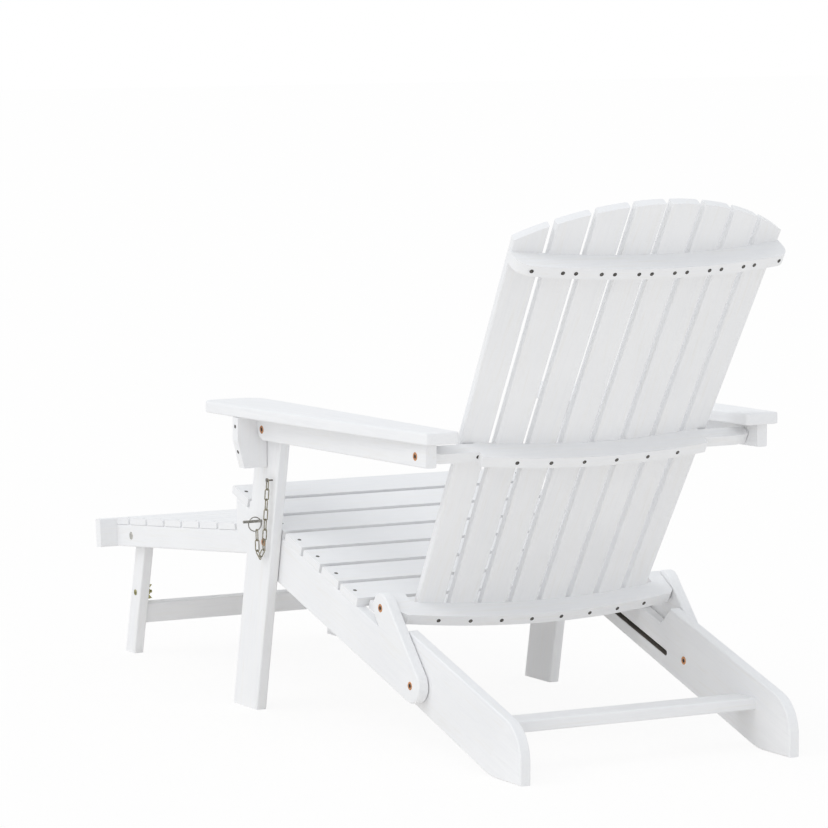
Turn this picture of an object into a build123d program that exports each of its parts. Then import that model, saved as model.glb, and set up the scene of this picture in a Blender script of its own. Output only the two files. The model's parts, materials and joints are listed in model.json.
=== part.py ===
from build123d import *
import os
from math import atan2, cos, degrees, radians, sin, sqrt

os.makedirs("parts", exist_ok=True)

# Folding Adirondack chair with a pull-out footrest, white painted softwood boards.
# Z is up, the sitter faces -Y and +X is the sitter's left. The floor is Z = 0.

# Boards
board = 20.0
slat_thickness = 16.0
edge_round = 3.0
overrun = 5.0
gap = 1.0

# Layers, as distances from the middle plane
side_outer = 292.0
side_inner = side_outer - board
rear_leg_outer = side_inner - gap
rear_leg_inner = rear_leg_outer - board
front_leg_inner = side_outer + gap
front_leg_outer = front_leg_inner + board
arm_rail_inner = front_leg_outer + gap
arm_rail_outer = arm_rail_inner + board
footrest_outer = rear_leg_inner - gap
footrest_inner = footrest_outer - board
footrest_leg_outer = footrest_inner - gap
footrest_leg_inner = footrest_leg_outer - board

# Pivots, as (Y, Z)
front_pivot = (28.0, 304.0)
arm_front_pivot = (64.0, 508.0)
back_pivot = (418.0, 236.0)
rear_leg_bolt = (521.0, 118.0)

# Seat and side rails
seat_tilt = 17.2
side_front = -118.0
side_top_at_front = 367.0
side_height = 82.0
side_nose_cut = 26.0
ear_radius = 26.0
tail_radius = 30.0
seat_slat_count = 7
seat_slat_width = 63.0
seat_slat_pitch = 71.2
seat_overhang = 18.0
rear_slat_width = 42.0

# Rear legs
rear_leg_front = -100.0
rear_leg_width = 102.0
shoulder_start = 445.0
shoulder_end = 478.0
rear_leg_clear = 18.0
foot_front = 752.0
foot_length = 98.0
foot_round = 70.0
slot_height = 21.0
slot_width = 10.4
slot_start = -70.0
slot_end = 462.0
crossbar_front = 690.0
crossbar_depth = 56.0
crossbar_height = 66.0

# Back
back_tilt = 59.6
back_slat_count = 8
lower_spacing = 58.5
upper_spacing = 65.6
slat_gap = 10.5
lower_rail_at = 5.0
middle_rail_at = 341.0
upper_rail_drop = 108.5
slat_bottom = -14.0
slat_top_peak = 828.0
slat_top_radius = 467.0
back_curve = 1300.0
rail_rear = 72.0
lower_rail_rear = 67.5
rail_depth = 42.0
slat_housing = 0.8
rail_end_half = 12.0
upper_rail_reach = 259.0
upper_rail_round = 29.0
arm_bolt_behind = 27.0

# Arms
arm_rail_front = 45.0
arm_rail_rear = 650.0
arm_rail_height = 40.0
arm_rise = 1.0
arm_bottom = 540.0
arm_thickness = 20.0
arm_front = -104.0
arm_rear = 669.0
arm_front_outer = 372.0
arm_front_inner = 258.0
arm_rear_outer = 345.0
arm_rear_inner = 281.0
arm_front_round = 34.0
corbel_drop = 90.0
corbel_reach = 57.0
corbel_foot = 44.0

# Front legs
leg_width = 89.0
leg_foot_rear = 0.0
leg_lean = 11.0
leg_head_radius = 20.0
leg_head_clip = 12.0

# Footrest
footrest_tilt = 5.35
footrest_length = 640.0
footrest_rail_height = 42.0
footrest_slat_count = 9
footrest_slat_gap = 8.0
footrest_first_slat_width = 50.0
footrest_last_slat_back = 10.0
footrest_slat_thickness = 12.0
fascia_reach = 286.0
fascia_height = 54.0
footrest_tail = 22.0
footrest_leg_back = 580.0
footrest_leg_width = 38.0
footrest_leg_lean = 13.0
brace_from_floor = 61.0
brace_height = 40.0
brace_thickness = 18.0
wing_bolt_height = 119.0
wing_bolt_radius = 3.0
wing_hub_radius = 5.5
wing_hub_depth = 9.0
wing_span = 13.0
peg_radius = 5.0

# Bolts, lock pin and chain
bolt_radius = 4.0
bolt_fit = 0.05
bolt_head_radius = 6.5
bolt_head_depth = 3.0
pin_radius = 2.5
pin_at = (22.0, 341.0)
pin_proud = 36.0
pin_ring_radius = 12.4
pin_ring_wire = 1.0
pin_ring_drop = 5.0
pin_ring_proud = 13.4
eye_at = (64.0, 418.0)
link_wire = 1.0
link_inner_length = 18.5
link_inner_width = 5.0
link_slack = 0.3
eye_radius = 1.5
chain_stand_off = 9.5
chain_headings = [-97.061] * 7 + [-130.0, 140.0] + [92.699] * 2

tilt_cos = cos(radians(seat_tilt))
tilt_sin = sin(radians(seat_tilt))
back_cos = cos(radians(back_tilt))
back_sin = sin(radians(back_tilt))
rest_cos = cos(radians(footrest_tilt))
rest_sin = sin(radians(footrest_tilt))
rise_cos = cos(radians(arm_rise))
rise_sin = sin(radians(arm_rise))


def seat_point(along, above):
    """Point at a distance along the side rail's top edge from its front end."""
    y = side_front + along * tilt_cos + above * tilt_sin
    z = side_top_at_front - along * tilt_sin + above * tilt_cos
    return (y, z)


def seat_line_z(y, above):
    """Height of a line parallel to the seat at a given Y."""
    return side_top_at_front - (y - side_front) * tilt_sin / tilt_cos + above / tilt_cos


def back_point(up, behind):
    """Point in the back's own directions from its pivot."""
    y = back_pivot[0] + up * back_cos + behind * back_sin
    z = back_pivot[1] + up * back_sin - behind * back_cos
    return (y, z)


def under_arm(y):
    """Height of the arm's underside, which rises gently to the rear."""
    return arm_bottom - (arm_rear - y) * rise_sin / rise_cos


foot_rear = foot_front + foot_length
upper_rail_at = slat_top_peak - upper_rail_drop
back_bolt_inner = back_slat_count / 2 * lower_spacing - slat_gap / 2 + gap
footrest_slats_reach = footrest_length + footrest_last_slat_back - footrest_first_slat_width
footrest_slat_pitch = footrest_slats_reach / (footrest_slat_count - 1)
footrest_slat_width = footrest_slat_pitch - footrest_slat_gap
arm_rear_pivot = back_point(middle_rail_at, arm_bolt_behind)
slot_line = slot_height - side_height
peg_at = (slot_start + slot_width / 2, seat_line_z(slot_start + slot_width / 2, slot_line))


def rest_point(forward, above):
    """Point in the footrest's own directions from its guide peg."""
    y = peg_at[0] - forward * rest_cos - above * rest_sin
    z = peg_at[1] - forward * rest_sin + above * rest_cos
    return (y, z)


footrest_leg_pivot = rest_point(footrest_leg_back, 0)


def outline(points):
    """Closed flat outline in the open sketch."""
    with BuildLine() as border:
        Polyline(*points, close=True)
    make_face(border.edges())


def disc(centre, radius, mode=Mode.ADD):
    """Disc at a point of the open sketch."""
    with Locations(centre):
        Circle(radius, mode=mode)


def joined_discs(first, first_radius, second, second_radius):
    """Two discs with the straight-sided shape between them."""
    dy = second[0] - first[0]
    dz = second[1] - first[1]
    reach = sqrt(dy * dy + dz * dz)
    heading = atan2(dz, dy)
    swing = atan2(sqrt(reach ** 2 - (first_radius - second_radius) ** 2), first_radius - second_radius)
    corners = []
    for sign in (1, -1):
        across = heading + sign * swing
        near = (first[0] + first_radius * cos(across), first[1] + first_radius * sin(across))
        far = (second[0] + second_radius * cos(across), second[1] + second_radius * sin(across))
        corners += [near, far] if sign == 1 else [far, near]
    outline(corners)
    disc(first, first_radius)
    disc(second, second_radius)


def side_plane(x):
    """Upright plane facing +X, with Y and Z as its directions."""
    return Plane.YZ.offset(x)


def cross_holes(points, radius, x_from, x_to):
    """Holes along X through the open part."""
    with BuildSketch(side_plane(x_from)) as profile:
        with Locations(*points):
            Circle(radius)
    extrude(profile.sketch, amount=x_to - x_from, mode=Mode.SUBTRACT)


def ease_face(part_builder, axis, radius):
    """Rounds all edges of the two end faces along an axis."""
    faces = part_builder.faces().sort_by(axis)
    fillet(faces[-1].edges() + faces[0].edges(), radius)


finished = []


def save(part, name):
    """Keeps a finished part with its name."""
    part.label = name
    finished.append(part)


# Side rails: straight boards with a rounded ear at the back pivot and a rounded tail.
with BuildPart() as side_left:
    with BuildSketch(side_plane(side_inner)):
        nose_top = seat_point(0, 0)
        low_front = (side_front + side_nose_cut, seat_line_z(side_front + side_nose_cut, -side_height))
        outline([
            nose_top,
            (back_pivot[0], seat_line_z(back_pivot[0], 0)),
            back_pivot,
            rear_leg_bolt,
            (rear_leg_bolt[0] - tail_radius * tilt_sin, rear_leg_bolt[1] - tail_radius * tilt_cos),
            low_front,
            (side_front, low_front[1] + side_nose_cut * 1.5),
        ])
        joined_discs(back_pivot, ear_radius, rear_leg_bolt, tail_radius)
    extrude(amount=board)
    ease_face(side_left, Axis.X, edge_round)
    cross_holes([front_pivot, rear_leg_bolt], bolt_radius, side_inner - overrun, side_outer + overrun)
    cross_holes([back_pivot], bolt_radius + bolt_fit, side_inner - overrun, side_outer + overrun)
    cross_holes([back_pivot, rear_leg_bolt], bolt_head_radius, side_outer - bolt_head_depth,
                side_outer + overrun)
save(side_left.part, "side_rail_left")
with BuildPart() as side_right:
    add(mirror(side_left.part, about=Plane.YZ))
save(side_right.part, "side_rail_right")

# Rear legs: the front part runs under the seat and carries the footrest's guide slot.
with BuildPart() as leg_board_left:
    with BuildSketch(side_plane(rear_leg_inner)):
        under_seat = -rear_leg_clear
        upper = rear_leg_width - side_height
        outline([
            (rear_leg_front, seat_line_z(rear_leg_front, under_seat)),
            (shoulder_start, seat_line_z(shoulder_start, under_seat)),
            (shoulder_end, seat_line_z(shoulder_end, upper)),
            (foot_rear, seat_line_z(foot_rear, upper)),
            (foot_rear, 0),
            (foot_front, 0),
            (rear_leg_front, seat_line_z(rear_leg_front, -side_height)),
        ])
    extrude(amount=board)
    heel = leg_board_left.edges().filter_by(Axis.X).sort_by(Axis.Y)[-2:].sort_by(Axis.Z)
    fillet(heel[-1], foot_round)
    toe = leg_board_left.edges().filter_by(Axis.X).sort_by(Axis.Z)[0:2].sort_by(Axis.Y)
    fillet(toe[0], foot_round * 2)
    ease_face(leg_board_left, Axis.X, edge_round)
    cross_holes([rear_leg_bolt], bolt_radius, rear_leg_inner - overrun, rear_leg_outer + overrun)
    with BuildSketch(side_plane(rear_leg_inner - overrun)):
        slot_from = (slot_start + slot_width / 2, seat_line_z(slot_start + slot_width / 2, slot_line))
        slot_to = (slot_end, seat_line_z(slot_end, slot_line))
        joined_discs(slot_from, slot_width / 2, slot_to, slot_width / 2)
    extrude(amount=board + 2 * overrun, mode=Mode.SUBTRACT)
save(leg_board_left.part, "rear_leg_left")
with BuildPart() as leg_board_right:
    add(mirror(leg_board_left.part, about=Plane.YZ))
save(leg_board_right.part, "rear_leg_right")

# Crossbar between the rear legs.
with BuildPart() as crossbar:
    with BuildSketch(side_plane(-rear_leg_inner)):
        outline([
            (crossbar_front, crossbar_height),
            (crossbar_front + crossbar_depth, crossbar_height),
            (crossbar_front + crossbar_depth, crossbar_height + board),
            (crossbar_front, crossbar_height + board),
        ])
    extrude(amount=2 * rear_leg_inner)
    fillet(crossbar.edges().filter_by(Axis.X), edge_round)
save(crossbar.part, "rear_crossbar")

# Seat slats across both side rails.
for number in range(seat_slat_count):
    with BuildPart() as seat_slat:
        with BuildSketch(side_plane(-side_outer)):
            start = number * seat_slat_pitch - seat_overhang
            outline([
                seat_point(start, 0),
                seat_point(start + seat_slat_width, 0),
                seat_point(start + seat_slat_width, slat_thickness),
                seat_point(start, slat_thickness),
            ])
        extrude(amount=2 * side_outer)
        fillet(seat_slat.edges().filter_by(Axis.X).sort_by(Axis.Z)[-2:], edge_round * 1.3)
    save(seat_slat.part, f"seat_slat_{number + 1}")

# Rear seat slat, between the side rails' ears.
with BuildPart() as rear_slat:
    with BuildSketch(side_plane(-side_inner)):
        start = seat_slat_count * seat_slat_pitch - seat_overhang
        outline([
            seat_point(start, 0),
            seat_point(start + rear_slat_width, 0),
            seat_point(start + rear_slat_width, slat_thickness),
            seat_point(start, slat_thickness),
        ])
    extrude(amount=2 * side_inner)
    fillet(rear_slat.edges().filter_by(Axis.X).sort_by(Axis.Z)[-2:], edge_round * 1.3)
save(rear_slat.part, f"seat_slat_{seat_slat_count + 1}")

# Back slats: a fan of tapered boards, laid on a shallow curve and cut to one arc on top.
mid_up = (slat_bottom + slat_top_peak) / 2


def spacing_at(up):
    """Distance between slat middles at a height along the back."""
    return lower_spacing + (upper_spacing - lower_spacing) * up / upper_rail_at


def slat_plane(share):
    """Plane of a slat's rear face, tangent to the back's curve, X across and Y up the slat."""
    x = share * spacing_at(mid_up)
    turn = x / back_curve
    behind = rail_rear - rail_depth + slat_housing - back_curve * (1 - cos(turn))
    y, z = back_point(0, behind)
    across = (cos(turn), -sin(turn) * back_sin, sin(turn) * back_cos)
    facing = (-sin(turn), -cos(turn) * back_sin, cos(turn) * back_cos)
    return Plane(origin=(x, y, z), x_dir=across, z_dir=facing), x


back_slats = []
for number in range(back_slat_count):
    share = number - (back_slat_count - 1) / 2
    with BuildPart() as back_slat:
        plane, middle = slat_plane(share)
        with BuildSketch(plane):
            low = spacing_at(slat_bottom)
            high = spacing_at(slat_top_peak)
            outline([
                (share * low - middle - (low - slat_gap) / 2, slat_bottom),
                (share * low - middle + (low - slat_gap) / 2, slat_bottom),
                (share * high - middle + (high - slat_gap) / 2, slat_top_peak),
                (share * high - middle - (high - slat_gap) / 2, slat_top_peak),
            ])
            with Locations((-middle, slat_top_peak - slat_top_radius)):
                Circle(slat_top_radius, mode=Mode.INTERSECT)
        extrude(amount=slat_thickness)
        long_edges = back_slat.edges().filter_by(lambda e: e.length > middle_rail_at)
        fillet(long_edges, edge_round)
    back_slats.append(back_slat.part)
    save(back_slat.part, f"back_slat_{number + 1}")


def curved_rail(up, reach, rear=rail_rear):
    """Flat curved board behind the slats, square to them, in the open part."""
    y, z = back_point(up - board / 2, 0)
    with BuildSketch(Plane(origin=(0, y, z), x_dir=(1, 0, 0), z_dir=(0, back_cos, back_sin))) as profile:
        with Locations((0, rear - back_curve)):
            Circle(back_curve)
        with Locations((0, rail_rear - back_curve)):
            Circle(back_curve - rail_depth, mode=Mode.SUBTRACT)
        with Locations((0, rail_rear - rail_depth)):
            Rectangle(2 * reach, 4 * rail_depth, mode=Mode.INTERSECT)
    extrude(profile.sketch, amount=board)


# Upper rail with rounded ends.
with BuildPart() as upper_rail:
    curved_rail(upper_rail_at, upper_rail_reach)
    corners = upper_rail.edges().filter_by(lambda e: abs(e.length - board) < gap).filter_by(GeomType.LINE)
    fillet(corners.sort_by(Axis.Y)[-2:], upper_rail_round)
    for slat in back_slats:
        add(slat, mode=Mode.SUBTRACT)
save(upper_rail.part, "back_rail_upper")

# Middle rail: its ends reach the arm rails.
with BuildPart() as middle_rail:
    curved_rail(middle_rail_at, arm_rail_inner - gap)
    y, z = back_point(middle_rail_at - board / 2, 0)
    with BuildSketch(Plane(origin=(0, y, z), x_dir=(1, 0, 0), z_dir=(0, back_cos, back_sin))):
        with Locations((side_inner, 0), (-side_inner, 0)):
            Rectangle(2 * (arm_rail_inner - side_inner) + 4 * overrun, upper_rail_at)
        end_reach = 2 * (arm_rail_inner - side_inner) + 8 * overrun
        with Locations((side_inner, arm_bolt_behind), (-side_inner, arm_bolt_behind)):
            Rectangle(end_reach, 2 * rail_end_half, mode=Mode.SUBTRACT)
    extrude(amount=board, mode=Mode.SUBTRACT)
    for slat in back_slats:
        add(slat, mode=Mode.SUBTRACT)
save(middle_rail.part, "back_rail_middle")

# Lower rail: its ends come forward to the pivot in the side rails' ears.
with BuildPart() as lower_rail:
    curved_rail(lower_rail_at, side_inner - gap, lower_rail_rear)
    y, z = back_point(lower_rail_at - board / 2, 0)
    with BuildSketch(Plane(origin=(0, y, z), x_dir=(1, 0, 0), z_dir=(0, back_cos, back_sin))):
        end_middle = side_inner - gap - board * 0.75
        with Locations((end_middle, rail_depth / 4), (-end_middle, rail_depth / 4)):
            Rectangle(board * 1.5, rail_depth * 1.5)
    extrude(amount=board)
    straight_edges = lower_rail.edges().filter_by(GeomType.LINE)
    chamfer_edges = straight_edges.filter_by(lambda e: abs(e.length - board) < gap)
    rear_corners = chamfer_edges.sort_by(Axis.Z)[0:2]
    chamfer(rear_corners, board * 0.5)
    for slat in back_slats:
        add(slat, mode=Mode.SUBTRACT)
    cross_holes([back_pivot], bolt_radius, back_bolt_inner, side_inner)
    cross_holes([back_pivot], bolt_radius, -side_inner, -back_bolt_inner)
save(lower_rail.part, "back_rail_lower")

# Front legs: outside the side rails, with a rounded head inside the arm rail.
lean_shift = sin(radians(leg_lean)) / cos(radians(leg_lean))
shoulder_z = arm_front_pivot[1] - leg_head_radius
shoulder_y = leg_foot_rear + shoulder_z * lean_shift


def front_leg(x_from):
    """Board of a front leg in the open part, with its two pivot holes."""
    with BuildSketch(side_plane(x_from)) as profile:
        outline([
            (leg_foot_rear - leg_width, 0),
            (leg_foot_rear, 0),
            (shoulder_y, shoulder_z),
            (arm_front_pivot[0] + leg_head_radius, arm_front_pivot[1]),
            (arm_front_pivot[0] - leg_head_radius, arm_front_pivot[1]),
            (shoulder_y - leg_width + leg_head_clip, shoulder_z),
            (shoulder_y - leg_width - leg_head_clip * lean_shift, shoulder_z - leg_head_clip),
        ])
        disc(arm_front_pivot, leg_head_radius)
    extrude(profile.sketch, amount=board)
    cross_holes([front_pivot, arm_front_pivot], bolt_radius + bolt_fit, x_from - overrun,
                x_from + board + overrun)


def long_edges_of(part_builder, length):
    """Straight edges of the open part that are longer than a length."""
    return part_builder.edges().filter_by(GeomType.LINE).filter_by(lambda e: e.length > length)


with BuildPart() as front_leg_left:
    front_leg(front_leg_inner)
    fillet(long_edges_of(front_leg_left, shoulder_z), edge_round)
    cross_holes([front_pivot], bolt_head_radius, front_leg_outer - bolt_head_depth, front_leg_outer + overrun)
    cross_holes([pin_at], pin_radius + bolt_fit, front_leg_inner - overrun, front_leg_outer + overrun)
    cross_holes([eye_at], eye_radius, front_leg_inner + board / 2, front_leg_outer + overrun)
save(front_leg_left.part, "front_leg_left")
with BuildPart() as front_leg_right:
    front_leg(-front_leg_outer)
    fillet(long_edges_of(front_leg_right, shoulder_z), edge_round)
    cross_holes([front_pivot], bolt_head_radius, -front_leg_outer - overrun,
                -front_leg_outer + bolt_head_depth)
save(front_leg_right.part, "front_leg_right")

# Arm rails: upright boards under the arms, outside the front legs and the back's middle rail.
with BuildPart() as arm_rail_left:
    with BuildSketch(side_plane(arm_rail_inner)):
        outline([
            (arm_rail_front, under_arm(arm_rail_front)),
            (arm_rail_front, under_arm(arm_rail_front) - arm_rail_height * 0.4),
            (arm_rail_front + arm_rail_height * 0.2, under_arm(arm_rail_front) - arm_rail_height * 0.8),
            (arm_rail_front + arm_rail_height * 0.6, under_arm(arm_rail_front) - arm_rail_height),
            (arm_rail_rear, under_arm(arm_rail_rear) - arm_rail_height),
            (arm_rail_rear, under_arm(arm_rail_rear)),
        ])
    extrude(amount=board)
    lower_edges = long_edges_of(arm_rail_left, arm_rail_rear / 2).sort_by(Axis.Z)[0:2]
    fillet(lower_edges, edge_round)
    cross_holes([arm_front_pivot, arm_rear_pivot], bolt_radius, arm_rail_inner - overrun,
                arm_rail_outer + overrun)
    cross_holes([arm_front_pivot, arm_rear_pivot], bolt_head_radius, arm_rail_outer - bolt_head_depth,
                arm_rail_outer + overrun)
save(arm_rail_left.part, "arm_rail_left")
with BuildPart() as arm_rail_right:
    add(mirror(arm_rail_left.part, about=Plane.YZ))
save(arm_rail_right.part, "arm_rail_right")

# Arms: flat boards on the arm rails, widening to a rounded front.
with BuildPart() as arm_left:
    arm_base = Plane(origin=(0, arm_rear, arm_bottom), x_dir=(1, 0, 0), z_dir=(0, -rise_sin, rise_cos))
    with BuildSketch(arm_base):
        arm_length = arm_rear - arm_front
        widest = 3.5 * arm_front_round - arm_length
        outline([
            (arm_front_inner, -arm_length),
            (arm_front_outer, -arm_length),
            (arm_front_outer, widest),
            (arm_rear_outer, 0),
            (arm_rear_inner, 0),
            (arm_front_inner, widest),
        ])
        corners = vertices().group_by(Axis.Y)[0]
        fillet(corners, arm_front_round)
        fillet(vertices().group_by(Axis.Y)[-1], edge_round * 2)
    extrude(amount=arm_thickness)
    ease_face(arm_left, Axis.Z, edge_round)
save(arm_left.part, "arm_left")
with BuildPart() as arm_right:
    add(mirror(arm_left.part, about=Plane.YZ))
save(arm_right.part, "arm_right")

# Corbels: brackets under the arms in front of the arm rails.
with BuildPart() as corbel_left:
    with BuildSketch(Plane.XZ.offset(-arm_rail_front)):
        corbel_top = under_arm(arm_rail_front - board)
        outline([
            (arm_rail_inner, corbel_top),
            (arm_rail_inner, corbel_top - corbel_drop),
            (arm_rail_inner + corbel_foot, corbel_top - corbel_drop),
            (arm_rail_inner + corbel_reach, corbel_top - corbel_drop * 0.45),
            (arm_rail_inner + corbel_reach, corbel_top),
        ])
    extrude(amount=board)
save(corbel_left.part, "corbel_left")
with BuildPart() as corbel_right:
    add(mirror(corbel_left.part, about=Plane.YZ))
save(corbel_right.part, "corbel_right")


# Footrest: side rails on guide pegs, slats, a front board and folding legs.
def rest_plank(x_from, x_to, forward, above, length, height):
    """Plank across or along the footrest, in the open part."""
    with BuildSketch(side_plane(x_from)) as profile:
        outline([
            rest_point(forward, above),
            rest_point(forward + length, above),
            rest_point(forward + length, above + height),
            rest_point(forward, above + height),
        ])
    extrude(profile.sketch, amount=x_to - x_from)


with BuildPart() as footrest_rail_left:
    rest_plank(footrest_inner, footrest_outer, -footrest_tail, -footrest_rail_height / 2,
               footrest_length + footrest_tail, footrest_rail_height)
    rear_corners = footrest_rail_left.edges().filter_by(Axis.X).sort_by(Axis.Y)[-2:]
    fillet(rear_corners, footrest_tail * 0.9)
    long_edges = footrest_rail_left.edges().filter_by(lambda e: e.length > footrest_length * 0.9)
    fillet(long_edges, edge_round)
    cross_holes([peg_at], peg_radius + bolt_fit, footrest_inner - overrun, footrest_outer + overrun)
    cross_holes([footrest_leg_pivot], bolt_radius, footrest_inner - overrun, footrest_outer + overrun)
save(footrest_rail_left.part, "footrest_rail_left")
with BuildPart() as footrest_rail_right:
    add(mirror(footrest_rail_left.part, about=Plane.YZ))
save(footrest_rail_right.part, "footrest_rail_right")

for number in range(footrest_slat_count):
    width = footrest_slat_width if number else footrest_first_slat_width
    rear_edge = footrest_first_slat_width + number * footrest_slat_pitch
    with BuildPart() as rest_slat:
        rest_plank(-footrest_outer, footrest_outer, footrest_length - rear_edge, footrest_rail_height / 2,
                   width, footrest_slat_thickness)
        fillet(rest_slat.edges().filter_by(Axis.X).sort_by(Axis.Z)[-2:], edge_round * 1.3)
    save(rest_slat.part, f"footrest_slat_{number + 1}")

with BuildPart() as fascia:
    rest_plank(-fascia_reach, fascia_reach, footrest_length, footrest_rail_height / 2
               + footrest_slat_thickness - fascia_height, board, fascia_height)
    fillet(fascia.edges().filter_by(Axis.X), edge_round)
save(fascia.part, "footrest_front_board")

# Guide pegs: they turn in the footrest rails and run in the slots.
with BuildPart() as pegs:
    for side in (1, -1):
        with BuildSketch(side_plane(side * (footrest_inner - 2 * gap))):
            disc(peg_at, peg_radius)
        extrude(amount=side * (rear_leg_outer - footrest_inner + 2 * gap))
save(pegs.part, "guide_pegs")


def footrest_leg_point(down, behind):
    """Point on a footrest leg from its pivot."""
    turn = radians(footrest_leg_lean)
    y = footrest_leg_pivot[0] - down * sin(turn) + behind * cos(turn)
    z = footrest_leg_pivot[1] - down * cos(turn) - behind * sin(turn)
    return (y, z)


half_leg = footrest_leg_width / 2
leg_drop = footrest_leg_pivot[1] / cos(radians(footrest_leg_lean))
lean_tan = sin(radians(footrest_leg_lean)) / cos(radians(footrest_leg_lean))
wing_bolt_at = footrest_leg_point(leg_drop - wing_bolt_height / cos(radians(footrest_leg_lean)), 0)
with BuildPart() as footrest_leg_left:
    with BuildSketch(side_plane(footrest_leg_inner)):
        outline([
            footrest_leg_point(0, -half_leg),
            footrest_leg_point(leg_drop + half_leg * lean_tan, -half_leg),
            footrest_leg_point(leg_drop - half_leg * lean_tan, half_leg),
            footrest_leg_point(0, half_leg),
        ])
        disc(footrest_leg_pivot, half_leg)
    extrude(amount=board)
    long_edges = footrest_leg_left.edges().filter_by(lambda e: e.length > leg_drop * 0.9)
    fillet(long_edges, edge_round)
    cross_holes([footrest_leg_pivot], bolt_radius + bolt_fit, footrest_leg_inner - overrun,
                footrest_leg_outer + overrun)
    cross_holes([wing_bolt_at], wing_bolt_radius, footrest_leg_inner - overrun, footrest_leg_outer + overrun)
save(footrest_leg_left.part, "footrest_leg_left")
with BuildPart() as footrest_leg_right:
    add(mirror(footrest_leg_left.part, about=Plane.YZ))
save(footrest_leg_right.part, "footrest_leg_right")

brace_top = leg_drop - brace_from_floor - brace_height
with BuildPart() as brace:
    with BuildSketch(side_plane(-footrest_leg_inner)):
        outline([
            footrest_leg_point(brace_top, -brace_thickness / 2),
            footrest_leg_point(brace_top + brace_height, -brace_thickness / 2),
            footrest_leg_point(brace_top + brace_height, brace_thickness / 2),
            footrest_leg_point(brace_top, brace_thickness / 2),
        ])
    extrude(amount=2 * footrest_leg_inner)
    fillet(brace.edges().filter_by(Axis.X), edge_round)
save(brace.part, "footrest_leg_brace")


# Bolts: countersunk socket bolts along X, one node for each place with both sides.
def bolts(points, x_from, x_to):
    """A bolt with its head on the outer side, and its twin on the other side, in the open part."""
    for side in (1, -1):
        for point in points:
            with BuildSketch(side_plane(side * x_from)) as shank:
                disc(point, bolt_radius)
            extrude(shank.sketch, amount=side * (x_to - x_from))
            with BuildSketch(side_plane(side * (x_to - bolt_head_depth + gap / 3))) as head:
                disc(point, bolt_head_radius - gap / 3)
            extrude(head.sketch, amount=side * (bolt_head_depth - gap / 3))


with BuildPart() as front_bolts:
    bolts([front_pivot], side_inner, front_leg_outer)
save(front_bolts.part, "front_pivot_bolts")
with BuildPart() as back_bolts:
    bolts([back_pivot], back_bolt_inner, side_outer)
save(back_bolts.part, "back_pivot_bolts")
with BuildPart() as rear_leg_bolts:
    bolts([rear_leg_bolt], rear_leg_inner, side_outer)
save(rear_leg_bolts.part, "rear_leg_bolts")
with BuildPart() as footrest_leg_bolts:
    for side in (1, -1):
        with BuildSketch(side_plane(side * (footrest_leg_inner - gap))):
            disc(footrest_leg_pivot, bolt_radius)
        extrude(amount=side * (footrest_outer - footrest_leg_inner + gap))
save(footrest_leg_bolts.part, "footrest_leg_bolts")

# Bolts with wing nuts in the footrest legs: the nut is on the inner side.
with BuildPart() as wing_bolts:
    nut_start = footrest_leg_inner - wing_hub_depth
    for side in (1, -1):
        with BuildSketch(side_plane(side * (nut_start - wing_hub_depth / 2))):
            disc(wing_bolt_at, wing_bolt_radius)
        extrude(amount=side * (board + wing_hub_depth * 1.5))
        with BuildSketch(side_plane(side * footrest_leg_outer)):
            disc(wing_bolt_at, wing_hub_radius)
        extrude(amount=side * gap * 0.8)
        with BuildSketch(side_plane(side * nut_start)):
            disc(wing_bolt_at, wing_hub_radius)
        extrude(amount=side * wing_hub_depth)
        wing_line = Plane(origin=(side * nut_start, *wing_bolt_at), x_dir=(1, 0, 0), z_dir=(0, 1, 0))
        with BuildSketch(wing_line.offset(-wing_bolt_radius / 3)):
            for up in (1, -1):
                outline([
                    (side * wing_hub_depth * 0.8, -up * wing_hub_radius * 0.5),
                    (side * wing_hub_depth * 0.4, -up * wing_hub_radius * 0.5),
                    (-side * wing_hub_depth * 0.6, -up * wing_span),
                    (side * wing_hub_depth * 0.2, -up * wing_span * 1.1),
                ])
        extrude(amount=wing_bolt_radius * 2 / 3)
save(wing_bolts.part, "footrest_wing_bolts")

for side, name in ((1, "left"), (-1, "right")):
    with BuildPart() as arm_bolts:
        for point, start in ((arm_front_pivot, front_leg_inner), (arm_rear_pivot, arm_rail_inner)):
            with BuildSketch(side_plane(side * start)):
                disc(point, bolt_radius)
            extrude(amount=side * (arm_rail_outer - start))
            with BuildSketch(side_plane(side * (arm_rail_outer - bolt_head_depth + gap / 3))):
                disc(point, bolt_head_radius - gap / 3)
            extrude(amount=side * (bolt_head_depth - gap / 3))
    save(arm_bolts.part, f"arm_bolts_{name}")

# Lock pin with its ring, in the left front leg.
pin_end = front_leg_outer + pin_proud
with BuildPart() as lock_pin:
    with BuildSketch(side_plane(front_leg_inner + gap)):
        disc(pin_at, pin_radius)
    extrude(amount=pin_end - front_leg_inner - gap)
    ring_x = front_leg_outer + pin_ring_proud
    ring_middle = (ring_x, pin_at[0], pin_at[1] - pin_ring_drop)
    ring_start = (ring_x, pin_at[0], pin_at[1] - pin_ring_drop + pin_ring_radius)
    with BuildSketch(Plane(origin=ring_start, x_dir=(0, 1, 0), z_dir=(1, 0, 0))):
        Circle(pin_ring_wire)
    revolve(axis=Axis(ring_middle, (0, 1, 0)), revolution_arc=360)
save(lock_pin.part, "lock_pin")


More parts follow.
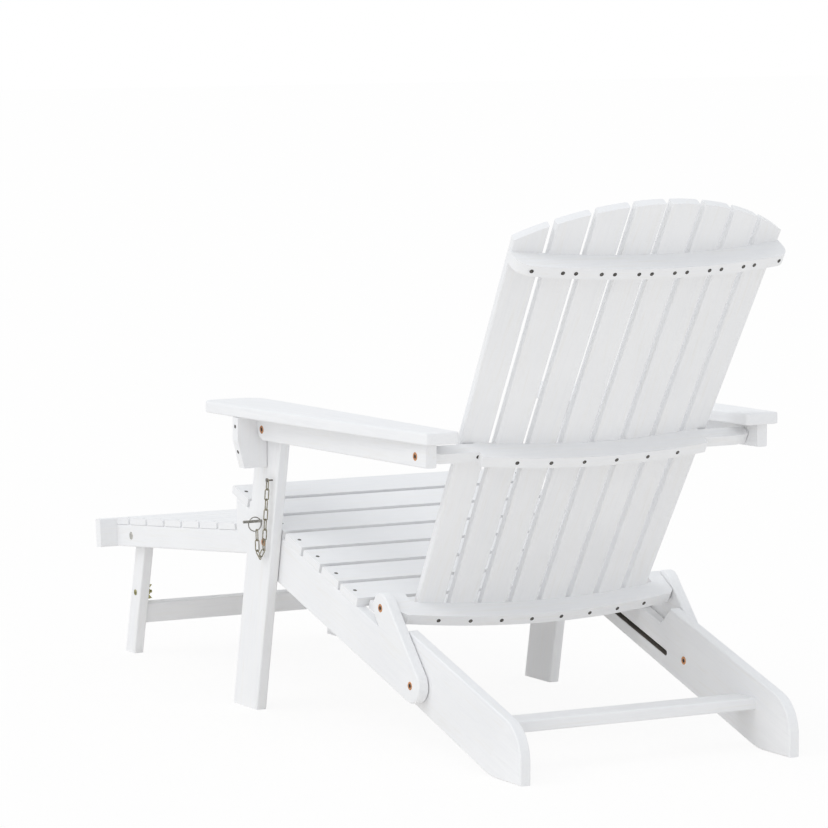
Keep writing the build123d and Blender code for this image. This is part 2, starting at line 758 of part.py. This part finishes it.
# Chain: wire links, each turned a quarter against the one before, hung from a screw eye.
def wire_link(centre, heading, turned):
    """One closed wire link with its long way along a heading."""
    along = Vector(0, cos(radians(heading)), sin(radians(heading)))
    across = Vector(1, 0, 0)
    normal = along.cross(across) if turned else across
    plane = Plane(origin=centre, x_dir=along, z_dir=normal)
    half_straight = (link_inner_length - link_inner_width) / 2
    bend = link_inner_width / 2 + link_wire
    with BuildLine(plane, mode=Mode.PRIVATE) as path:
        Line((-half_straight, bend), (half_straight, bend))
        ThreePointArc((half_straight, bend), (half_straight + bend, 0), (half_straight, -bend))
        Line((half_straight, -bend), (-half_straight, -bend))
        ThreePointArc((-half_straight, -bend), (-half_straight - bend, 0), (-half_straight, bend))
    wire = path.wire()
    with BuildSketch(Plane(origin=wire @ 0, z_dir=wire % 0), mode=Mode.PRIVATE) as section:
        Circle(link_wire)
    return sweep(section.sketch, path=wire, mode=Mode.PRIVATE)


with BuildPart() as chain:
    chain_x = front_leg_outer + chain_stand_off
    half_straight = (link_inner_length - link_inner_width) / 2
    half_hung = (link_inner_length + link_inner_width) / 2 - link_slack
    first_drop = link_inner_length / 2 - eye_radius - link_slack
    y = eye_at[0] + first_drop * cos(radians(chain_headings[0]))
    z = eye_at[1] + first_drop * sin(radians(chain_headings[0]))
    for number, heading in enumerate(chain_headings):
        if number > 0:
            before = chain_headings[number - 1]
            old, new = (half_hung, half_straight) if number % 2 == 0 else (half_straight, half_hung)
            y += old * cos(radians(before)) + new * cos(radians(heading))
            z += old * sin(radians(before)) + new * sin(radians(heading))
        add(wire_link((chain_x, y, z), heading, number % 2 == 1))
save(chain.part, "lock_chain")

# Screw eye for the chain.
with BuildPart() as screw_eye:
    with BuildSketch(side_plane(front_leg_inner + board / 2)):
        disc(eye_at, eye_radius)
    extrude(amount=board / 2 + chain_stand_off + 2 * link_wire)
    with BuildSketch(side_plane(front_leg_outer + chain_stand_off + link_wire * 1.2)):
        disc(eye_at, link_inner_width * 0.8)
    extrude(amount=link_wire)
save(screw_eye.part, "chain_screw_eye")

# Everything moves so that the frame's origin is under the middle of the whole chair.
front_end = min(part.bounding_box().min.Y for part in finished)
rear_end = max(part.bounding_box().max.Y for part in finished)
middle_y = (front_end + rear_end) / 2
for part in finished:
    name = part.label
    placed = Pos(0, -middle_y, 0) * part
    placed.label = name
    export_step(placed, f"parts/{name}.step")
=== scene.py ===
import bpy
import bmesh
import json
import math
from mathutils import Matrix, Vector

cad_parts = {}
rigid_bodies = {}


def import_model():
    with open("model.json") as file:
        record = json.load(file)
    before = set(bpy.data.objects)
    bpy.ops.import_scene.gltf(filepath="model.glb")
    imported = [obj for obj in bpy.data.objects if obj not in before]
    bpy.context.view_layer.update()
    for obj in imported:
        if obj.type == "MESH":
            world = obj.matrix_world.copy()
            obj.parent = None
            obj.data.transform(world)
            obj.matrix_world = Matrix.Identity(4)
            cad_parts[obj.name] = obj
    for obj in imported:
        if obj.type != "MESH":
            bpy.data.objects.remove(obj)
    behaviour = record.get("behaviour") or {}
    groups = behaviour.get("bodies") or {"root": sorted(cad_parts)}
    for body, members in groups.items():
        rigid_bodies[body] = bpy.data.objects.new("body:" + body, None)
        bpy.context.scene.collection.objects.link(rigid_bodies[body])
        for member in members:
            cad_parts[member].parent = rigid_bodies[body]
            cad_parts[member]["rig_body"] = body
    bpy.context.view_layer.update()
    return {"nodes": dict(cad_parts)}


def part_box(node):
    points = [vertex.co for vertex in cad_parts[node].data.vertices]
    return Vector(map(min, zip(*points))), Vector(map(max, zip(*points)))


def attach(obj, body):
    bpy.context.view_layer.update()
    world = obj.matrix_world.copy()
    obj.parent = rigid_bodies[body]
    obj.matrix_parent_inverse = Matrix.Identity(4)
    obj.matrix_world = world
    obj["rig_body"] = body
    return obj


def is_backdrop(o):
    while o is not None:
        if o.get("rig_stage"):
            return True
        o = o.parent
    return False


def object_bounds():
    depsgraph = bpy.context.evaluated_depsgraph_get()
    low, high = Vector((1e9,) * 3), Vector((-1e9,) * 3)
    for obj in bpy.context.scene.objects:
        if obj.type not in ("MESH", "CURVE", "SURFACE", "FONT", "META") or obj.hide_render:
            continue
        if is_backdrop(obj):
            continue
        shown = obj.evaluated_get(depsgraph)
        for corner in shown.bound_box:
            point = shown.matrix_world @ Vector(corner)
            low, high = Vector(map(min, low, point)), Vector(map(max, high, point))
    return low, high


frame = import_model()
nodes = frame["nodes"]

# Main directions of the chair, from its angles in degrees.
SEAT = math.radians(17.2)
BACK = math.radians(59.6)
REST = math.radians(5.35)
LEG = math.radians(11.0)
REST_LEG = math.radians(13.0)
RISE = math.radians(1.0)
ACROSS = Vector((1, 0, 0))
REARWARD = Vector((0, 1, 0))
UP = Vector((0, 0, 1))
SEAT_DOWN = Vector((0, math.cos(SEAT), -math.sin(SEAT)))
SEAT_UP = Vector((0, math.sin(SEAT), math.cos(SEAT)))
BACK_UP = Vector((0, math.cos(BACK), math.sin(BACK)))
BACK_BEHIND = Vector((0, math.sin(BACK), -math.cos(BACK)))
REST_BACK = Vector((0, math.cos(REST), math.sin(REST)))
REST_UP = Vector((0, -math.sin(REST), math.cos(REST)))
LEG_UP = Vector((0, math.sin(LEG), math.cos(LEG)))
REST_LEG_UP = Vector((0, math.sin(REST_LEG), math.cos(REST_LEG)))
ARM_ALONG = Vector((0, math.cos(RISE), math.sin(RISE)))

# The sitter's left is at +X.
SIDES = {"left": 1, "right": -1}

BLACK = (0, 0, 0)
WHITE = (1, 1, 1)


def middle_of(name):
    """Middle of a CAD node's box."""
    low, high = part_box(name)
    return (low + high) / 2


# Materials.
def link(tree, a, b):
    tree.links.new(a, b)


def shader(name):
    """A new node material with its main shader."""
    material = bpy.data.materials.new(name)
    material.use_nodes = True
    tree = material.node_tree
    return material, tree, tree.nodes["Principled BSDF"]


def value_node(tree, kind, **settings):
    """A node with its plain settings and input values."""
    node = tree.nodes.new(kind)
    for key, value in settings.items():
        if key in node.inputs:
            node.inputs[key].default_value = value
        else:
            setattr(node, key, value)
    return node


def object_place(tree):
    """Socket with the place in the object's own coordinates."""
    return tree.nodes.new("ShaderNodeTexCoord").outputs["Object"]


def mapped(tree, source, **settings):
    """Coordinates moved, turned or scaled."""
    node = value_node(tree, "ShaderNodeMapping", vector_type="POINT", **settings)
    link(tree, source, node.inputs["Vector"])
    return node.outputs[0]


def noise(tree, source, **settings):
    """Noise at given coordinates."""
    node = value_node(tree, "ShaderNodeTexNoise", **settings)
    link(tree, source, node.inputs["Vector"])
    return node.outputs[0]


def bump(tree, height, strength, distance, under=None):
    """Bump from a height, on top of another bump if there is one."""
    node = value_node(tree, "ShaderNodeBump", Strength=strength, Distance=distance)
    link(tree, height, node.inputs["Height"])
    if under is not None:
        link(tree, under, node.inputs["Normal"])
    return node.outputs[0]


def grey(value):
    """The same value for red, green and blue."""
    return (value, value, value)


def ramp(tree, source, stops):
    """Maps a value through coloured stops."""
    node = tree.nodes.new("ShaderNodeValToRGB")
    band = node.color_ramp
    while len(band.elements) < len(stops):
        band.elements.new(0.5)
    for element, (place, colour) in zip(band.elements, stops):
        element.position = place
        element.color = (*colour, 1)
    link(tree, source, node.inputs[0])
    return node.outputs[0]


def mix(tree, amount, first, second, mode="MIX"):
    """Mixes two colours; the amount is a number or a socket."""
    node = tree.nodes.new("ShaderNodeMix")
    node.data_type = "RGBA"
    node.blend_type = mode
    if isinstance(amount, float):
        node.inputs[0].default_value = amount
    else:
        link(tree, amount, node.inputs[0])
    for socket, value in ((node.inputs[6], first), (node.inputs[7], second)):
        if isinstance(value, tuple):
            socket.default_value = (*value, 1)
        else:
            link(tree, value, socket)
    return node.outputs[2]


PAINT_DULL = (0.865, 0.868, 0.876)
PAINT_CLEAN = (0.9, 0.902, 0.908)
PAINT_STREAK = (0.955, 0.955, 0.958)
PAINT_SMOOTH = 0.36
PAINT_ROUGH = 0.5
PAINT_SPECULAR = 0.45
WORN_WOOD = (0.70, 0.67, 0.61)
WORN_SHARE = 0.22
GRAIN_STRETCH = (1.0, 16.0, 16.0)
BRUSH_STRETCH = (2.0, 70.0, 70.0)
SEED_STEPS = (0.37, 0.91, 0.53)


def painted_wood(name, along, seed):
    """White paint brushed along a board, with faint grain under it and slightly worn edges."""
    material, tree, main = shader(name)
    side = (along.cross(ACROSS) if abs(along.x) < 0.5 else REARWARD).normalized()
    turn = Matrix((along, side, along.cross(side))).to_euler()
    moved = [seed * step for step in SEED_STEPS]
    board = mapped(tree, object_place(tree), Rotation=turn, Location=moved)
    grain_place = mapped(tree, board, Scale=GRAIN_STRETCH)
    brush_place = mapped(tree, board, Scale=BRUSH_STRETCH)
    grain = noise(tree, grain_place, Scale=9.0, Detail=6.0, Roughness=0.62, Distortion=0.6)
    brush = noise(tree, brush_place, Scale=11.0, Detail=4.0, Roughness=0.7)
    blotch = noise(tree, board, Scale=6.0, Detail=3.0, Roughness=0.5)

    tone = ramp(tree, blotch, [(0.3, PAINT_DULL), (0.7, PAINT_CLEAN)])
    streak = ramp(tree, grain, [(0.32, PAINT_STREAK), (0.62, WHITE)])
    white = mix(tree, 1.0, tone, streak, "MULTIPLY")
    edge = tree.nodes.new("ShaderNodeNewGeometry").outputs["Pointiness"]
    wear = ramp(tree, edge, [(0.505, BLACK), (0.56, WHITE)])
    broken = ramp(tree, grain, [(0.5, BLACK), (0.68, WHITE)])
    worn = mix(tree, WORN_SHARE, BLACK, mix(tree, 1.0, wear, broken, "MULTIPLY"))
    link(tree, mix(tree, worn, white, WORN_WOOD), main.inputs["Base Color"])

    rough = ramp(tree, brush, [(0.3, grey(PAINT_SMOOTH)), (0.7, grey(PAINT_ROUGH))])
    link(tree, rough, main.inputs["Roughness"])
    relief = bump(tree, grain, strength=0.16, distance=0.0012)
    relief = bump(tree, brush, strength=0.12, distance=0.0005, under=relief)
    link(tree, relief, main.inputs["Normal"])
    main.inputs["Specular IOR Level"].default_value = PAINT_SPECULAR
    return material


PATCH_SCALE = 260.0
SCRATCH_SCALE = PATCH_SCALE * 6
PATCH_ROUGHER = 0.2


def metal(name, bright, dull, roughness):
    """Plated metal with fine scratches and duller patches."""
    material, tree, main = shader(name)
    place = object_place(tree)
    patch = noise(tree, place, Scale=PATCH_SCALE, Detail=5.0, Roughness=0.6)
    scratch = noise(tree, place, Scale=SCRATCH_SCALE, Detail=3.0)
    rough = ramp(tree, patch, [(0.3, grey(roughness + PATCH_ROUGHER)), (0.7, grey(roughness))])
    link(tree, ramp(tree, patch, [(0.38, dull), (0.62, bright)]), main.inputs["Base Color"])
    link(tree, rough, main.inputs["Roughness"])
    link(tree, bump(tree, scratch, strength=0.12, distance=0.0002), main.inputs["Normal"])
    main.inputs["Metallic"].default_value = 1.0
    return material


def painted_shade_recess(name, deep, rim):
    """Painted shade for the inside of a hole or a slot, a little uneven."""
    material, tree, main = shader(name)
    spots = noise(tree, object_place(tree), Scale=420.0, Detail=4.0)
    link(tree, ramp(tree, spots, [(0.35, deep), (0.7, rim)]), main.inputs["Base Color"])
    link(tree, bump(tree, spots, strength=0.3, distance=0.0004), main.inputs["Normal"])
    main.inputs["Roughness"].default_value = 0.7
    return material


copper = metal("copper_plate", (0.74, 0.37, 0.17), (0.42, 0.19, 0.09), 0.26)
zinc = metal("zinc_plate", (0.66, 0.65, 0.61), (0.42, 0.41, 0.38), 0.3)
yellow_zinc = metal("yellow_zinc", (0.46, 0.43, 0.20), (0.20, 0.19, 0.08), 0.34)
wire = metal("chain_wire_metal", (0.40, 0.37, 0.28), (0.20, 0.185, 0.14), 0.34)
pin_steel = metal("pin_steel", (0.42, 0.41, 0.38), (0.24, 0.23, 0.21), 0.3)
screw_steel = metal("screw_steel", (0.34, 0.32, 0.29), (0.16, 0.15, 0.14), 0.45)
# Screw steel darkened with painted shade, for the heads at the bottom of the screws' holes.
steel_in_painted_shade = metal("sunk_screw_steel", (0.20, 0.19, 0.17), (0.09, 0.085, 0.08), 0.5)
# Near-black painted shade for the insides of the screws' holes and the bolts' sockets.
hole = painted_shade_recess("screw_hole", (0.012, 0.011, 0.010), (0.045, 0.04, 0.036))
# Bare wood's colour darkened with painted shade, for the lining of the guide slots.
slot_shadow = painted_shade_recess("slot_shadow", (0.15, 0.13, 0.11), (0.26, 0.23, 0.2))

# Direction of the grain, by how a board's name starts.
grains = {
    "seat_slat": ACROSS,
    "rear_crossbar": ACROSS,
    "back_rail": ACROSS,
    "footrest_slat": ACROSS,
    "footrest_front_board": ACROSS,
    "footrest_leg_brace": ACROSS,
    "side_rail": SEAT_DOWN,
    "rear_leg": SEAT_DOWN,
    "back_slat": BACK_UP,
    "front_leg": LEG_UP,
    "arm_rail": ARM_ALONG,
    "arm_left": ARM_ALONG,
    "arm_right": ARM_ALONG,
    "corbel": UP,
    "footrest_rail": REST_BACK,
    "footrest_leg": REST_LEG_UP,
}
metals = {
    "front_pivot_bolts": copper,
    "back_pivot_bolts": copper,
    "rear_leg_bolts": copper,
    "arm_bolts_left": copper,
    "arm_bolts_right": copper,
    "footrest_leg_bolts": zinc,
    "footrest_wing_bolts": yellow_zinc,
    "guide_pegs": zinc,
    "lock_pin": pin_steel,
    "lock_chain": wire,
    "chain_screw_eye": screw_steel,
}
SEED_COUNT = 97
FIRST_WEIGHT = 3


def paint_for(name):
    """Own paint for each board, with the grain along it."""
    fits = [key for key in grains if name.startswith(key)]
    key = max(fits, key=len)
    seed = sum(ord(letter) * (place + FIRST_WEIGHT) for place, letter in enumerate(name)) % SEED_COUNT
    return painted_wood("paint_" + name, grains[key], seed)


BOARD_EDGE = 0.0012
METAL_EDGE = 0.00025
SHARP_FROM = math.radians(35)

# One board's paint for each body, for the lips of its screws' holes.
body_paint = {}
for name, piece in nodes.items():
    is_metal = name in metals
    material = metals[name] if is_metal else paint_for(name)
    piece.data.materials.clear()
    piece.data.materials.append(material)
    if not is_metal:
        body_paint.setdefault(piece["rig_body"], material)
    bevel = piece.modifiers.new("soft_edges", "BEVEL")
    bevel.limit_method = "ANGLE"
    bevel.angle_limit = SHARP_FROM
    bevel.width = METAL_EDGE if is_metal else BOARD_EDGE
    bevel.segments = 2
    bevel.harden_normals = False
    bevel.use_clamp_overlap = True


# Pieces added on the frame.
def finish_piece(name, mesh, material, body):
    """Makes an object of a mesh and lets it move with a body."""
    piece = bpy.data.objects.new(name, mesh)
    bpy.context.scene.collection.objects.link(piece)
    mesh.materials.append(material)
    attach(piece, body)
    return piece


def frame_at(point, facing):
    """Placement with local Z along a direction."""
    z = facing.normalized()
    helper = ACROSS if abs(z.x) < 0.9 else UP
    x = helper.cross(z).normalized()
    y = z.cross(x)
    place = Matrix((x, y, z)).transposed().to_4x4()
    place.translation = point
    return place


def mesh_of(made, name):
    """Mesh data of a bmesh, which is freed."""
    mesh = bpy.data.meshes.new(name)
    made.to_mesh(mesh)
    made.free()
    return mesh


def turned(profile, places, sides=24):
    """Turned shape from radius and height pairs, repeated at each place."""
    made = bmesh.new()
    angles = [2 * math.pi * step / sides for step in range(sides)]
    circle = [(math.cos(angle), math.sin(angle)) for angle in angles]
    for place in places:
        rings = []
        for radius, height in profile:
            points = [Vector((radius * x, radius * y, height)) for x, y in circle]
            if radius == 0:
                points = [Vector((0, 0, height))]
            rings.append([made.verts.new(place @ point) for point in points])
        for low, high in zip(rings, rings[1:]):
            for step in range(sides):
                after = (step + 1) % sides
                if len(low) == 1:
                    made.faces.new((low[0], high[after], high[step]))
                elif len(high) == 1:
                    made.faces.new((low[step], low[after], high[0]))
                else:
                    made.faces.new((low[step], low[after], high[after], high[step]))
    bmesh.ops.recalc_face_normals(made, faces=made.faces)
    mesh = mesh_of(made, "turned")
    for face in mesh.polygons:
        face.use_smooth = True
    return mesh


def scaled(profile, radius):
    """Profile with its shares of a radius turned into metres."""
    return [(radius * share, height) for share, height in profile]


def surface(name, start, direction):
    """Point where a ray meets a CAD node, with the face's direction."""
    hit, place, normal, _ = nodes[name].ray_cast(start, direction.normalized())
    if not hit:
        raise RuntimeError("no surface on " + name)
    return place, normal


HAIR = 0.00004


def on_surface(name, start, direction):
    """Placement on a CAD node's surface, a hair above it."""
    place, normal = surface(name, start, direction)
    return frame_at(place + normal * HAIR, normal)


# Sunk screws: shares of the screw's radius, and heights in metres.
SCREW_LIP = ((1.32, 0.00002), (1.22, 0.00022), (1.02, 0.0002), (0.96, 0.00004))
SCREW_HOLE_SHADE = ((1.0, 0.00006), (0, 0.00009))
SCREW_HEAD = ((0.62, 0.0001), (0.56, 0.00018), (0.2, 0.00019), (0, 0.00013))
WOOD_SCREW = 0.0037
SEAT_SCREW = 0.0036
CORBEL_SCREW = 0.0035
FOOTREST_SCREW = 0.003


def screws(name, places, body, radius=WOOD_SCREW):
    """Sunk screws: a paint lip, a dark disc of painted shade for the hole and the screw's head, darkened
    with painted shade, at the bottom of it.
    """
    parts = (
        ("_lip", SCREW_LIP, body_paint[body], "painted_wood"),
        ("_hole", SCREW_HOLE_SHADE, hole, "zinc_steel"),
        ("_head", SCREW_HEAD, steel_in_painted_shade, "zinc_steel"),
    )
    for ending, profile, material, slot in parts:
        finish_piece(name + ending, turned(scaled(profile, radius), places), material, body)


# Screws in the rear edges of the back's rails, in millimetres from the middle.
RAIL_SCREWS = {
    "back_rail_upper": (238, 184, 161, 115, 91, 46, 22),
    "back_rail_middle": (220.2, 157, 94.5, 31.5),
    "back_rail_lower": (204.8, 146.3, 87.8, 29.3),
}
BEHIND_BACK = 0.3


def rail_screw_places(rail):
    """Placements in a rail's rear edge, left and right of the middle."""
    pivot = middle_of("back_pivot_bolts")
    height = (middle_of(rail) - pivot).dot(BACK_UP)
    start = pivot + BACK_UP * height + BACK_BEHIND * BEHIND_BACK
    places = []
    for offset in RAIL_SCREWS[rail]:
        for side in SIDES.values():
            places.append(on_surface(rail, start + ACROSS * (side * offset / 1000), -BACK_BEHIND))
    return places


for rail in RAIL_SCREWS:
    screws(rail + "_screws", rail_screw_places(rail), "back")

# Screws at the ends of the seat slats and of the footrest slats, by their distance from the middle.
ABOVE_SLAT = 0.05
SEAT_SCREW_REACH = 0.281
NARROW_SLAT_REACH = 0.255
FOOTREST_SCREW_REACH = 0.237


def slat_screw_places(slat, up, reach):
    """Placements on top of a slat, at both ends."""
    start = middle_of(slat) + up * ABOVE_SLAT
    return [on_surface(slat, start + ACROSS * side * reach, -up) for side in SIDES.values()]


places = []
for number in range(1, 8):
    places += slat_screw_places(f"seat_slat_{number}", SEAT_UP, SEAT_SCREW_REACH)
places += slat_screw_places("seat_slat_8", SEAT_UP, NARROW_SLAT_REACH)
screws("seat_slat_screws", places, "seat", SEAT_SCREW)
places = []
for number in range(1, 10):
    places += slat_screw_places(f"footrest_slat_{number}", REST_UP, FOOTREST_SCREW_REACH)
screws("footrest_slat_screws", places, "footrest", FOOTREST_SCREW)

# Screws in the corbels' outer edges, by their share of a corbel's height. Rays that come from the side
# start at OUTSIDE.
OUTSIDE = 0.5
CORBEL_SCREW_SHARES = (0.82, 0.32)
for name, side in SIDES.items():
    low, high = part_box("corbel_" + name)
    places = []
    for share in CORBEL_SCREW_SHARES:
        height = low.z + (high.z - low.z) * share
        start = Vector((side * OUTSIDE, (low.y + high.y) / 2, height))
        places.append(on_surface("corbel_" + name, start, ACROSS * -side))
    screws("corbel_screws_" + name, places, "arm_" + name, CORBEL_SCREW)

# Screws in the footrest's front board, in pairs at both ends.
BOARD_SCREW_REACH = 0.239
BOARD_SCREW_LIFT = 0.012
BEFORE_BOARD = 0.1
places = []
for side in SIDES.values():
    for lift in (-BOARD_SCREW_LIFT, BOARD_SCREW_LIFT):
        start = middle_of("footrest_front_board") + Vector((side * BOARD_SCREW_REACH, -BEFORE_BOARD, lift))
        places.append(on_surface("footrest_front_board", start, REARWARD))
screws("front_board_screws", places, "footrest")

# Bolts' heads: shares of the head's radius, and heights in metres. The cap is in metres.
HEAD_RADIUS = 0.0074
HEAD_RIM = ((0.98, 0.0), (0.9, 0.00045), (0.74, 0.0006), (0.56, 0.0005), (0.48, 0.00015))
HEAD_SOCKET_SHADE = ((0.5, 0.00018), (0, 0.00024))
CAP = ((0.0074, 0.0), (0.0071, 0.0005), (0.0058, 0.0006), (0.0052, 0.0003), (0.0046, 0.0006), (0, 0.0007))
ROUND_SIDES = 32
SOCKET_SIDES = 6
BESIDE_AXIS = 0.0035


def bolt_heads(name, places, body):
    """Rounded rims of bolts' heads, and their six-sided sockets made dark with painted shade."""
    rim = turned(scaled(HEAD_RIM, HEAD_RADIUS), places, ROUND_SIDES)
    finish_piece(name + "_rim", rim, copper, body)
    socket = turned(scaled(HEAD_SOCKET_SHADE, HEAD_RADIUS), places, SOCKET_SIDES)
    finish_piece(name + "_socket", socket, hole, body)


def bolt_end(node, y, z, side, inner=False):
    """Placement on a bolt's outer or inner end, found by a ray beside the hollow of its head."""
    inward = ACROSS * (side if inner else -side)
    start = Vector((0 if inner else side * OUTSIDE, y + BESIDE_AXIS, z))
    place, _ = surface(node, start, inward)
    return frame_at(Vector((place.x, y, z)), -inward)


def both_ends(node, inner=False):
    """Placements on the ends of a pair of bolts."""
    centre = middle_of(node)
    return [bolt_end(node, centre.y, centre.z, side, inner) for side in SIDES.values()]


def arm_bolt_ends(name, side):
    """Placements on an arm's front and rear bolt, whose heads are as large as those of the front legs."""
    head_low, head_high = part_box("front_pivot_bolts")
    inset = (head_high - head_low) / 2
    low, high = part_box("arm_bolts_" + name)
    front = bolt_end("arm_bolts_" + name, low.y + inset.y, low.z + inset.z, side)
    rear = bolt_end("arm_bolts_" + name, high.y - inset.y, high.z - inset.z, side)
    return [front, rear]


bolt_heads("front_pivot_head", both_ends("front_pivot_bolts"), "seat")
bolt_heads("back_pivot_head", both_ends("back_pivot_bolts"), "back")
bolt_heads("rear_leg_head", both_ends("rear_leg_bolts"), "seat")
bolt_heads("rear_leg_inner_head", both_ends("rear_leg_bolts", inner=True), "seat")
for name, side in SIDES.items():
    bolt_heads("arm_head_" + name, arm_bolt_ends(name, side), "arm_" + name)
caps = turned(CAP, both_ends("footrest_leg_bolts"), ROUND_SIDES)
finish_piece("footrest_bolt_caps", caps, zinc, "footrest")

# Lining of the guide slots, bare wood darkened with painted shade: a hair smaller than the cut, from just
# inside the rear leg's inner face to halfway across the gap behind its outer face.
SLOT_TRAVEL = 0.5515
SLOT_RADIUS = 0.00514
SLOT_INSET = 0.0013
HALF_GAP = 0.0005
HALF_ROUND_STEPS = 12


def slot_outline():
    """Points round a guide slot, from its lower end to the pegs."""
    near = middle_of("guide_pegs")
    far = near + SEAT_DOWN * SLOT_TRAVEL
    outline = []
    for centre, first in ((far, -90), (near, 90)):
        for step in range(HALF_ROUND_STEPS + 1):
            angle = math.radians(first + 180 * step / HALF_ROUND_STEPS)
            outline.append(centre + (SEAT_DOWN * math.cos(angle) + SEAT_UP * math.sin(angle)) * SLOT_RADIUS)
    return outline


def slot_lining(side):
    """Walls and back of one guide slot."""
    board_low, board_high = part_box("rear_leg_left")
    outline = slot_outline()
    made = bmesh.new()
    rings = []
    for x in (board_low.x + SLOT_INSET, board_high.x + HALF_GAP):
        rings.append([made.verts.new(Vector((side * x, point.y, point.z))) for point in outline])
    mouth, back = rings
    for step in range(len(outline)):
        after = (step + 1) % len(outline)
        made.faces.new((mouth[step], mouth[after], back[after], back[step]))
    made.faces.new(back)
    return mesh_of(made, "slot_lining")


for name, side in SIDES.items():
    finish_piece("slot_lining_" + name, slot_lining(side), slot_shadow, "seat")


# Backdrop and light: the floor shows nearly white to the camera and keeps the chair's shadow.
def larger(tree, first, second):
    """Socket with the larger of two values."""
    node = value_node(tree, "ShaderNodeMath", operation="MAXIMUM")
    link(tree, first, node.inputs[0])
    link(tree, second, node.inputs[1])
    return node.outputs[0]


def seen_directly(tree):
    """Socket that is 1 for camera, mirror and glass rays."""
    path = tree.nodes.new("ShaderNodeLightPath").outputs
    camera_or_mirror = larger(tree, path["Is Camera Ray"], path["Is Glossy Ray"])
    return larger(tree, camera_or_mirror, path["Is Transmission Ray"])


def blended(tree, amount, first, second, output):
    """Mixes two shaders into an output node."""
    blend = tree.nodes.new("ShaderNodeMixShader")
    for socket, source in zip(blend.inputs, (amount, first.outputs[0], second.outputs[0])):
        link(tree, source, socket)
    link(tree, blend.outputs[0], tree.nodes[output].inputs["Surface"])


PLAIN_WHITE = (1, 1, 1, 1)
FLOOR_SIZE = 60
FLOOR_COLOUR = (0.98, 0.955, 0.925, 1)
FLOOR_GLOW_SHARE = 0.9
SKY_COLOUR = (0.942, 0.968, 1.0, 1)
SKY_STRENGTH = 0.815

bpy.ops.mesh.primitive_plane_add(size=FLOOR_SIZE, location=(0, 0, 0))
floor = bpy.context.object
floor.name = "floor"
floor_material, tree, main = shader("floor_white")
main.inputs["Base Color"].default_value = FLOOR_COLOUR
main.inputs["Roughness"].default_value = 0.9
main.inputs["Specular IOR Level"].default_value = 0.0
glow = value_node(tree, "ShaderNodeEmission", Color=PLAIN_WHITE, Strength=1.0)
glow_share = value_node(tree, "ShaderNodeMath", operation="MULTIPLY")
link(tree, seen_directly(tree), glow_share.inputs[0])
glow_share.inputs[1].default_value = FLOOR_GLOW_SHARE
blended(tree, glow_share.outputs[0], main, glow, "Material Output")
floor.data.materials.append(floor_material)
floor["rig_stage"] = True

world = bpy.data.worlds.new("studio")
bpy.context.scene.world = world
world.use_nodes = True
tree = world.node_tree
sky = tree.nodes["Background"]
sky.inputs["Color"].default_value = SKY_COLOUR
sky.inputs["Strength"].default_value = SKY_STRENGTH
backdrop = value_node(tree, "ShaderNodeBackground", Color=PLAIN_WHITE, Strength=1.0)
blended(tree, seen_directly(tree), sky, backdrop, "World Output")


def outward(heading, height):
    """Direction from the chair to a compass heading and a height, both in degrees."""
    turn = math.radians(heading)
    rise = math.radians(height)
    return Vector((math.sin(turn) * math.cos(rise), -math.cos(turn) * math.cos(rise), math.sin(rise)))


def sun(name, heading, height, strength, softness, colour):
    """Soft distant lamp that shines from a direction."""
    data = bpy.data.lights.new(name, "SUN")
    data.energy = strength
    data.color = colour
    data.angle = math.radians(softness)
    light = bpy.data.objects.new(name, data)
    bpy.context.scene.collection.objects.link(light)
    light.rotation_euler = outward(heading, height).to_track_quat("Z", "Y").to_euler()
    light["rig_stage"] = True


sun("key", heading=85, height=50, strength=0.64, softness=40, colour=(1.0, 1.0, 1.0))
sun("fill", heading=140, height=10, strength=0.28, softness=60, colour=(1.0, 0.995, 0.985))

# Camera at the photo's angle. Its place was solved in the part's own numbers, where the front pivot's Y
# is known, while the frame has the chair's middle at zero. The focal length and the photo's centre are
# in the photo's pixels, and the sensor is in millimetres.
FRONT_PIVOT_Y = 0.028
SHIFT = middle_of("front_pivot_bolts").y - FRONT_PIVOT_Y
CAMERA_PLACE = Vector((3.891, 6.976 + SHIFT, 1.364))
CAMERA_HEADING = 150.83
CAMERA_HEIGHT = 6.19
PHOTO_SIZE = 828
PHOTO_CENTRE = (412, 422)
FOCAL_PIXELS = 4470
SENSOR = 36
VIEW_DEPTH = 200

backward = outward(CAMERA_HEADING, CAMERA_HEIGHT)
heading = math.radians(CAMERA_HEADING)
right = Vector((math.cos(heading), math.sin(heading), 0))
placement = Matrix((right, backward.cross(right), backward)).transposed().to_4x4()
placement.translation = CAMERA_PLACE
camera_data = bpy.data.cameras.new("camera")
camera_data.sensor_width = SENSOR
camera_data.lens = FOCAL_PIXELS / PHOTO_SIZE * SENSOR
camera_data.shift_x = (PHOTO_SIZE / 2 - PHOTO_CENTRE[0]) / PHOTO_SIZE
camera_data.shift_y = (PHOTO_CENTRE[1] - PHOTO_SIZE / 2) / PHOTO_SIZE
camera_data.clip_end = VIEW_DEPTH
camera = bpy.data.objects.new("camera", camera_data)
bpy.context.scene.collection.objects.link(camera)
camera.matrix_world = placement
bpy.context.scene.camera = camera
bpy.context.scene.view_settings.view_transform = "Standard"

low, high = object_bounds()
